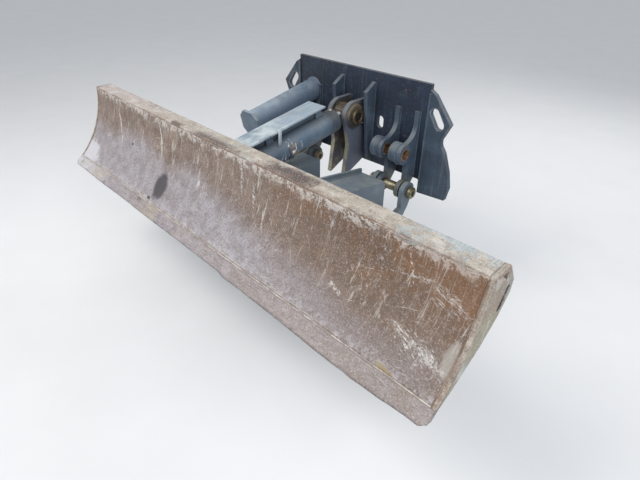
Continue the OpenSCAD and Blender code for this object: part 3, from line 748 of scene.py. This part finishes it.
DRESS = {
    "chassis": ["end_plate"],
    "side": ["side_plate_left", "side_plate_right"],
    "clevis": ["clevis_left", "clevis_right"],
    "frame": ["gusset_left", "gusset_right", "lug_left_outer", "lug_left_inner", "lug_right_inner",
              "lug_right_outer", "base_lugs"],
    "arm": ["arm_box_right", "arm_lugs_right", "cylinder_foot"],
    "far_arm_in_shade": ["arm_box_left", "arm_lugs_left"],
    "tube": ["side_tube", "side_tube_cap"],
    "barrel": ["barrel", "base_eye", "gland", "guard_posts"],
    "strip": ["guard_strip"],
    "back": ["back_beam", "back_ribs"],
    "board": ["mouldboard"],
    "rim": ["top_rail"],
    "end": ["blade_end_left", "blade_end_right"],
    "edge": ["cutting_edge"],
    "grease": ["base_pin"],
    "eye": ["rod_eye"],
    "head": ["head_pin"],
    "hinge": ["hinge_pin_left", "hinge_pin_right"],
    "chrome": ["rod"],
}
for look, names in DRESS.items():
    for name in names:
        for slot in frame["nodes"][name].material_slots:
            slot.material = LOOKS[look]


# Makers of pieces
def linked(name, data):
    made = bpy.data.objects.new(name, data)
    bpy.context.scene.collection.objects.link(made)
    return made


def piece(name, bm, look, body):
    mesh = bpy.data.meshes.new(name)
    bmesh.ops.recalc_face_normals(bm, faces=bm.faces)
    bm.to_mesh(mesh)
    bm.free()
    mesh.polygons.foreach_set("use_smooth", [True] * len(mesh.polygons))
    mesh.materials.append(LOOKS[look])
    made = linked(name, mesh)
    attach(made, body)
    return made


def skin(bm, rings, closed=False):
    """Faces between rings of the same number of points, and over both ends."""
    n = len(rings[0])
    pairs = list(zip(rings, rings[1:]))
    if closed:
        pairs.append((rings[-1], rings[0]))
    for a, b in pairs:
        for i in range(n):
            bm.faces.new((a[i], a[(i + 1) % n], b[(i + 1) % n], b[i]))
    if not closed:
        bm.faces.new(rings[0][::-1])
        bm.faces.new(rings[-1])


def run_across(name, half, stations, profile, look, warp):
    """Closed profile of (y, z) points run from -half to half in X; warp(x, i, y, z) moves point i."""
    bm = bmesh.new()
    rings = []
    for x in spread(-half, half, stations):
        rings.append([bm.verts.new((x, *warp(x, i, y, z))) for i, (y, z) in enumerate(profile)])
    skin(bm, rings)
    return piece(name, bm, look, "blade")


def turned(name, parts, look, body, slot, n=48):
    """Rings or plugs turned round an axis: parts are (origin, axis, closed profile of (along, radius))."""
    bm = bmesh.new()
    for origin, axis, profile in parts:
        u = axis.orthogonal().normalized()
        v = axis.cross(u)
        rings = []
        for i in range(n):
            out = u * cos(2 * pi * i / n) + v * sin(2 * pi * i / n)
            rings.append([bm.verts.new(origin + axis * s + out * r) for s, r in profile])
        skin(bm, rings, closed=True)
    bmesh.ops.remove_doubles(bm, verts=bm.verts, dist=1e-6)
    piece(name, bm, look, body)


def plate(name, path, width, t, look, body):
    """Bent flat bar: its middle line runs through path, it is as wide as the vector width."""
    bm = bmesh.new()
    half, chamfer = width / 2, t * 0.2
    flat = half.normalized()
    rings = []
    for i, p in enumerate(path):
        ahead = (path[min(i + 1, len(path) - 1)] - path[max(i - 1, 0)]).normalized()
        out = ahead.cross(flat).normalized()
        ring = []
        for a, b in ((1, 1), (-1, 1), (-1, -1), (1, -1)):
            pair = [p + half * a + out * b * (t / 2 - chamfer),
                    p + (half - flat * chamfer) * a + out * b * t / 2]
            ring += pair if a * b > 0 else pair[::-1]
        rings.append([bm.verts.new(q) for q in ring])
    skin(bm, rings)
    piece(name, bm, look, body)


RIPPLE_SIDES, RIPPLE_STRIDE = 8, 0.0026


def ripple_ring(bm, p, along, r):
    ref = Vector((0.31, 0.62, 0.72))
    if abs(along.dot(ref)) > 0.9:
        ref = X
    u = along.cross(ref).normalized()
    v = along.cross(u)
    turns = [2 * pi * i / RIPPLE_SIDES for i in range(RIPPLE_SIDES)]
    return [bm.verts.new(p + (u * cos(t) + v * sin(t)) * r) for t in turns]


def bead(name, paths, r, look, body, pitch=0.006, closed=False):
    """Weld beads: rippled rods that follow the paths."""
    bm = bmesh.new()
    for path in paths:
        pts = []
        loop = path + [path[0]] if closed else path
        for a, b in zip(loop, loop[1:]):
            n = max(1, int((b - a).length / RIPPLE_STRIDE))
            pts += [a.lerp(b, i / n) for i in range(n)]
        if not closed:
            pts.append(loop[-1])
        rings, s = [], 0.0
        for i, p in enumerate(pts):
            ahead = pts[(i + 1) % len(pts)] if closed else pts[min(i + 1, len(pts) - 1)]
            behind = pts[i - 1] if (i or closed) else p
            ripple = 0.86 + 0.20 * (s / pitch % 1.0) + 0.16 * wobble(s * 60, r * 900, len(paths))
            rings.append(ripple_ring(bm, p, (ahead - behind).normalized(), r * ripple))
            s += (ahead - p).length
        skin(bm, rings, closed)
    piece(name, bm, look, body)


def circle(c, u, v, r, n=56, start=0.0, end=360.0):
    """Points round c in the plane of u and v, all round or from start to end in degrees."""
    count = n if end - start >= 360 else n + 1
    turns = [radians(start + (end - start) * i / n) for i in range(count)]
    return [c + (u * cos(t) + v * sin(t)) * r for t in turns]


# Face plate, top rail and cutting edge, which stand for the plain solids
FACE_STEPS, BACK_STEPS, EDGE_STEPS = 44, 20, 8
RAIL_CUTS = (0.0035, 0.0012)
KINK_X = 0.232


def dent(x, a):
    """Depth of the dents toward the board's back. They fade out at the end plates."""
    broad = 0.0018 * max(0.0, wobble(x * 3.1, a * 5.0, 1.7))
    small = 0.0012 * max(0.0, wobble(x * 9.0, a * 14.0, 4.1))
    return 2.2 * (broad + small) * min(1.0, (INNER - abs(x)) / 0.05)


def face_plate():
    places = [(FACE_R, a) for a in spread(RAIL_FOOT_A, SEAM_A, FACE_STEPS)]
    places += [(BACK_R, a) for a in spread(SEAM_A, RAIL_FOOT_A, BACK_STEPS)]

    def dented(x, i, y, z):
        r, a = places[i]
        return (y, z) if i > FACE_STEPS else arc(r + dent(x, a), a).yz

    profile = [tuple(arc(r, a).yz) for r, a in places]
    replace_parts(run_across("face_plate", INNER, 380, profile, "board", dented), "mouldboard")


def softened(corners):
    """Corners of a closed outline, each cut to short steps toward both neighbours."""
    out = []
    for i, c in enumerate(corners):
        p, before, after = Vector(c), Vector(corners[i - 1]), Vector(corners[(i + 1) % len(corners)])
        for cut, q in [(t, before) for t in RAIL_CUTS] + [(t, after) for t in reversed(RAIL_CUTS)]:
            out.append(tuple(p + (q - p).normalized() * cut))
    return out


def rim_rail():
    corners = [(-REACH, RISE - RAIL_T), (-REACH, RISE), (-REACH + RAIL_D, RISE),
               (back_y(RISE - RAIL_H), RISE - RAIL_H)]
    per_corner = 2 * len(RAIL_CUTS)

    def knocked(x, i, y, z):
        """The points that meet the board stay; the front ones are nicked, and droop at both ends."""
        if i < per_corner / 2 or i >= 3 * per_corner:
            return y, z
        wave = 0.0016 * wobble(x * 7, i * 0.3, 2.0) + 0.0011 * wobble(x * 31, i * 0.9, 5.0)
        if i >= 2 * per_corner:
            return y + 0.3 * wave, z + wave
        nick = 0.012 * max(0.0, wobble(x * 17, 9.0, i * 0.02) - 0.38)
        droop = 0.006 * max(0.0, (abs(x) - INNER + 0.02) / 0.02) ** 2
        return y + 0.3 * wave + nick + 0.5 * droop, z + wave - 0.6 * nick - droop

    rail = run_across("rim_rail", INNER, 420, softened(corners), "rim", knocked)
    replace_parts(rail, "top_rail")


def worn_edge():
    """The cutting edge, worn wavy along its tip, and sagging right of a kink."""
    top = SEAM_A - 0.0002
    bevel = radians(1.6)
    places = [(FACE_R, a) for a in spread(top, TIP_A, EDGE_STEPS)]
    places += [(FACE_R + EDGE_T, a) for a in spread(TIP_A + bevel, top, EDGE_STEPS)]
    down = (arc(FACE_R, TIP_A) - arc(FACE_R, SEAM_A)).normalized()

    def worn(x, i, y, z):
        toward_tip = (min(i, 2 * EDGE_STEPS + 1 - i) / EDGE_STEPS) ** 1.5
        wave = 0.003 * wobble(x * 4, 3.3, 0.0) + 0.0014 * wobble(x * 19, 1.1, 0.0) - 0.002
        sag = 0.008 * ramp(x, KINK_X, KINK_X + 0.05) + 0.004 * ramp(x, 0.55, 0.85) - 0.010 * ramp(x, 1.0, 1.2)
        corner = 0.016 * ramp(abs(x), BLADE_W / 2 - 0.022, BLADE_W / 2)
        drop = toward_tip * (wave + sag - corner)
        dint = 0.0008 * wobble(x * 24, i, 7.0)
        return y + down.y * drop + dint, z + down.z * drop

    profile = [tuple(arc(r, a).yz) for r, a in places]
    edge = run_across("worn_edge", BLADE_W / 2, 320, profile, "edge", worn)
    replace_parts(edge, "cutting_edge")


# Weld beads: PROUD is how far a bead's middle line stands off the surface
PROUD = 0.001
SEAM_OFFSET, UPPER_SEAM_OFFSET = 0.001, 0.018
UPPER_SEAM_X = (-1.0, 0.86)
RIB_TOP_A, RIB_FOOT_A = TOP_A - radians(13), radians(-31)
CAP_T, CAP_IN, CAP_LAP = 0.007, 0.003, 0.001
LIP_FRONT = -0.78

# Top edge of an arm's hinge plate, as y and z
LUG_LINE = ((-0.280, -0.311), (-0.600, -0.203), (-0.660, -0.233), (-0.660, -0.269))

# Upright beads on the end plate: distance from the middle, top and foot
GUSSET_WELDS = [(GUSSET_X + side * GUSSET_T / 2, 0.188, -0.233) for side in (-1, 1)]
CLEVIS_WELDS = [(CLEVIS_IN, 0.095, -0.232), (CLEVIS_OUT, 0.095, -0.232)]
LUG_WELD = (0.104, -0.238)
SIDE_WELD = (0.2, -0.24)


def along_face(r, a, start=-INNER, end=INNER):
    return [arc(r, a + 0.0012 * wobble(x * 9, a * 40, 0.0), x) for x in spread(start, end, 60)]


def face_welds():
    """Beads that show on the face: two along the seam, one under the rail, one down each end."""
    lower = along_face(FACE_R, SEAM_A + SEAM_OFFSET)
    bead("bead_seam", [lower], 0.0030, "seam", "blade", 0.009)
    upper = along_face(FACE_R + 0.0004, SEAM_A + UPPER_SEAM_OFFSET, *UPPER_SEAM_X)
    bead("bead_seam_upper", [upper], 0.0018, "seam", "blade", 0.011)
    under_rail = [Vector((x, -REACH + 0.0035, RISE - RAIL_T - PROUD)) for x in spread(-INNER, INNER, 40)]
    bead("bead_rail", [under_rail], 0.0042, "seam", "blade")
    ends = [[arc(FACE_R, a, s * INNER) for a in spread(RAIL_FOOT_A, SEAM_A, 40)] for s in (-1, 1)]
    bead("bead_ends", ends, 0.0028, "weld", "blade")


def back_welds():
    """Beads of the beam, the ribs and the end plates on the board's back."""
    r = BACK_R + PROUD
    half_beam = asin(BEAM_D / 2 / BACK_R)
    lines = [[arc(r, BEAM_A + s * half_beam, x) for x in (-BEAM_W / 2, BEAM_W / 2)] for s in (-1, 1)]
    for s in (-1, 1):
        for i in (1, 2):
            middle = s * (ARM_X + ARM_W / 2 + ARM_LUG_T + i * RIB_PITCH)
            for side in (-1, 1):
                x = middle + side * (RIB_T / 2 + 0.0005)
                lines.append([arc(r, a, x) for a in spread(RIB_TOP_A, RIB_FOOT_A, 24)])
    lines += [[arc(r, a, s * INNER) for a in spread(RAIL_FOOT_A - 0.2, SEAM_A, 30)] for s in (-1, 1)]
    bead("bead_back", lines, 0.0055, "back", "blade")


def beam_caps():
    """Plates that close the beam's ends, a little inside them."""
    inset = BEAM_T - CAP_LAP
    across = tilted(BEAM_A)[1] * (BEAM_D - 2 * inset)
    x = BEAM_W / 2 - CAP_IN - CAP_T / 2
    for side, name in ((-1, "beam_cap_left"), (1, "beam_cap_right")):
        path = [arc(BACK_R + r, BEAM_A, side * x) for r in (inset, BEAM_D - inset)]
        plate(name, path, across, CAP_T, "back", "blade")


def arm_contact():
    """Where an arm's top plate meets the board's back, found in steps."""
    y = -REACH
    for _ in range(20):
        y = back_y(arm_z(y))
    return y


def arm_welds():
    """Beads of the hinge plates on the box, of its lip, and of the box on the blade."""
    lines = []
    y = arm_contact()
    for s in (-1, 1):
        for side in (-1, 1):
            x = s * ARM_X + side * ARM_W / 2
            lines.append([Vector((x, *place)) for place in LUG_LINE])
        lip_x = s * (ARM_X - ARM_W / 2 + ARM_T)
        lines.append([Vector((lip_x, at, arm_z(at))) for at in spread(ARM_REAR - 0.004, LIP_FRONT, 8)])
        lines.append([Vector((s * (ARM_X + side * ARM_W / 2), y + PROUD, arm_z(y))) for side in (-1, 1)])
    bead("bead_arms", lines, 0.005, "arm", "blade")


def bracket_welds():
    """Upright beads of the plates that stand on the end plate."""
    lines = []
    for s in (-1, 1):
        uprights = [(s * x, top, foot) for x, top, foot in GUSSET_WELDS + CLEVIS_WELDS]
        uprights += [(s * middle + side * LUG_T / 2, *LUG_WELD) for middle in LUG_MIDDLES for side in (-1, 1)]
        lines += [[Vector((x, FRONT, top)), Vector((x, FRONT, foot))] for x, top, foot in uprights]
        lines.append([Vector((s * (PLATE_X + 0.0005), FRONT - 0.0025, z)) for z in SIDE_WELD])
    bead("bead_bracket", lines, 0.0055, "frame", "bracket")


def ring_welds():
    """Beads round the fronts of the spare bosses, and round the clevis rings."""
    bosses = []
    for s in (-1, 1):
        for middle in LUG_MIDDLES:
            root = Vector((s * (middle - LUG_T / 2), SPARE.y, SPARE.z))
            bosses.append(circle(root, Y, Z, BOSS_R + PROUD, start=95, end=265))
    bead("bead_bosses", bosses, 0.005, "frame", "bracket")
    rings = [circle(HEAD + X * s * CLEVIS_OUT, Y, Z, RING_R + 0.0005) for s in (-1, 1)]
    bead("bead_rings", rings, 0.0038, "clevis", "bracket", closed=True)


def tube_welds():
    """Beads round the side tube on the end plate, and round its cap."""
    root = TUBE_END + TUBE_DIR * (FRONT - TUBE_END.y) / cos(TUBE_SLOPE)
    rings = [circle(root, X, Z / cos(TUBE_SLOPE), TUBE_R + PROUD),
             circle(TUBE_END + TUBE_DIR * PROUD, X, TUBE_UP, TUBE_R + PROUD)]
    bead("bead_tube", rings, 0.005, "tube", "bracket", closed=True)


# Fittings of the lift cylinder, with s counted from its base pin
BARREL_WELD, WEB_S, BAND_S, PORT_S, PLUG_S = 0.0525, (0.060, 0.480), 0.210, 0.214, 0.535
# Web under the strip, a sheet that closes the gap so that it reads as shade: side, up, height, thickness
WEB_SIDE, WEB_UP, WEB_H, WEB_T = -0.011, 0.0755, 0.039, 0.006
STRIP_TOP = STRIP_UP + STRIP_T

# Middle line of the bent tab on the strip: s, side and up
TAB_LINE = ((0.190, 0.004, STRIP_TOP + 0.002), (0.188, 0.019, STRIP_TOP + 0.001), (0.184, 0.025, STRIP_UP),
            (0.172, 0.032, 0.070), (0.160, 0.040, 0.044))


def on_barrel(s, r, angle):
    """Point of the cylinder at radius r, angle degrees up from its right side."""
    return on_cylinder(s, r * cos(radians(angle)), r * sin(radians(angle)))


def plug(r, h):
    """Closed profile of a low round plug with a chamfered top, from its foot up."""
    return [(-0.004, 0.0), (-0.004, r), (h * 0.75, r), (h, r * 0.8), (h, 0.0)]


def cylinder_fittings():
    """Beads, the web and the tab of the strip, the band with its port, and the gland's plug. The web is a
    sheet that closes the gap under the strip, so that the gap reads as shade.
    """
    ends = (BARREL_WELD, GLAND_END - GLAND_LEN)
    rings = [circle(on_cylinder(s), X, CYL_UP, BARREL_R - 0.001) for s in ends]
    bead("bead_barrel", rings, 0.0032, "barrel", "barrel", closed=True)
    # The web: a sheet under the strip that blocks the view through the gap, so that it reads as shade there.
    shade_web = [on_cylinder(s, WEB_SIDE, WEB_UP) for s in spread(*WEB_S, 12)]
    plate("strip_web_shade_sheet", shade_web, CYL_UP * WEB_H, WEB_T, "barrel", "barrel")
    tab = [on_cylinder(*place) for place in TAB_LINE]
    plate("strip_tab", tab, CYL_DIR * 0.020, 0.004, "strip", "barrel")
    band = [on_barrel(BAND_S, BARREL_R + 0.004, angle) for angle in spread(-48, 26, 16)]
    plate("barrel_band", band, CYL_DIR * 0.026, 0.007, "barrel", "barrel")
    out = on_barrel(0, 1, -6) - on_cylinder(0)
    port = on_cylinder(PORT_S) + out * (BARREL_R + 0.006)
    turned("barrel_port", [(port, out, plug(0.016, 0.012))], "fitting", "barrel", "paint", 6)
    top = on_cylinder(PLUG_S, 0.006, BARREL_R)
    turned("gland_plug", [(top, CYL_UP, plug(0.009, 0.008))], "fitting", "barrel", "paint", 6)


# Rings and nipples of the pins
HEAD_FACE = CLEVIS_OUT + RING_T + PIN_HEAD_T
HINGE_FACE = ARM_W / 2 + ARM_LUG_T + PIN_REACH + PIN_HEAD_T
NIPPLE_Y, NIPPLE_Z = -0.055, -0.022


def ring_profile(r_in, r_out, h):
    """Closed profile of a flat ring with chamfered rims, h proud of its seat."""
    c = 0.25 * h
    return [(-0.001, r_in), (h - c, r_in), (h, r_in + c), (h, r_out - c), (h - c, r_out), (-0.001, r_out)]


def pin_rings():
    """Retaining rings on the pins' faces."""
    head = [(HEAD + X * s * HEAD_FACE, X * s, ring_profile(0.024, 0.040, 0.006)) for s in (-1, 1)]
    turned("pin_rings", head, "head", "bracket", "greased_steel")
    hinge = []
    for middle in (-ARM_X, ARM_X):
        for s in (-1, 1):
            hinge.append((HINGE + X * (middle + s * HINGE_FACE), X * s, ring_profile(0.013, 0.027, 0.005)))
    turned("hinge_rings", hinge, "hinge", "bracket", "greased_steel")


def clevis_nipple():
    """Grease nipples on the clevis plates: hexagon foot, neck and ball."""
    profile = [(-0.002, 0.0), (-0.002, 0.0065), (0.006, 0.0065), (0.0075, 0.0035), (0.011, 0.003),
               (0.0135, 0.0042), (0.016, 0.0036), (0.0175, 0.0)]
    pair = [(Vector((s * CLEVIS_OUT, NIPPLE_Y, NIPPLE_Z)), X * s, profile) for s in (1, -1)]
    turned("clevis_nipple", pair, "fitting", "bracket", "greased_steel", 12)


# Floor, light and camera
def studio_floor():
    bm = bmesh.new()
    reach = 60
    corners = ((-reach, -reach), (reach, -reach), (reach, reach), (-reach, reach))
    bm.faces.new([bm.verts.new((x, y, GROUND)) for x, y in corners])
    mesh = bpy.data.meshes.new("floor")
    bm.to_mesh(mesh)
    bm.free()
    floor = linked("floor", mesh)
    mat = Finish("studio_floor")
    mat.colour = mat.mix(mat.noise(3), FLOOR_DARK, FLOOR_PALE)
    mat.shade(0.8)
    mesh.materials.append(mat.material)


def studio_world():
    """Soft pale sky light; the camera, glossy and clear surfaces see white."""
    world = bpy.data.worlds.new("studio")
    bpy.context.scene.world = world
    nodes = Nodes(world)
    rays = nodes.add("LightPath").outputs
    sky = nodes.add("Background")
    seen = nodes.most(rays["Is Camera Ray"], rays["Is Glossy Ray"], rays["Is Transmission Ray"])
    nodes.put(sky.inputs[0], nodes.mix(seen, SKY_LIGHT, WHITE))
    nodes.put(nodes.add("OutputWorld").inputs[0], sky.outputs[0])


def area(name, at, to, size, watts, colour):
    light = bpy.data.lights.new(name, "AREA")
    light.size = size
    light.energy = watts
    light.color = colour
    lamp = linked(name, light)
    lamp.location = at
    lamp.rotation_euler = (Vector(to) - Vector(at)).to_track_quat("-Z", "Y").to_euler()


def photo_camera():
    """The camera that was fitted to the photograph."""
    az, el, roll = radians(44.7), radians(34.3), radians(0.34)
    place = Vector((1.544, -1.857, 0.798))
    back = Vector((sin(az) * cos(el), -cos(az) * cos(el), sin(el)))
    right = Vector((cos(az), sin(az), 0))
    up = back.cross(right)
    turned_right = cos(roll) * right + sin(roll) * up
    turned_up = -sin(roll) * right + cos(roll) * up
    lens = bpy.data.cameras.new("photo_camera")
    lens.sensor_width = 36
    lens.lens = 25.09
    lens.clip_start = 0.05
    camera = linked("photo_camera", lens)
    turn = Matrix((turned_right, turned_up, back)).transposed().to_4x4()
    camera.matrix_world = Matrix.Translation(place) @ turn
    bpy.context.scene.camera = camera


face_plate()
rim_rail()
worn_edge()
face_welds()
back_welds()
beam_caps()
arm_welds()
bracket_welds()
ring_welds()
tube_welds()
cylinder_fittings()
pin_rings()
clevis_nipple()
studio_floor()
studio_world()
area("key", (-1.6, -3.4, 3.6), (0, -0.6, -0.2), 2.4, 135, (1.0, 0.98, 0.95))
area("fill", (3.2, -2.2, 2.0), (0, -0.6, -0.2), 2.5, 70, (0.95, 0.97, 1.0))
area("behind", (0.8, 3.2, 2.4), (0, -0.4, -0.2), 2.6, 55, (0.97, 0.98, 1.0))
photo_camera()
bpy.context.scene.view_settings.view_transform = "Standard"
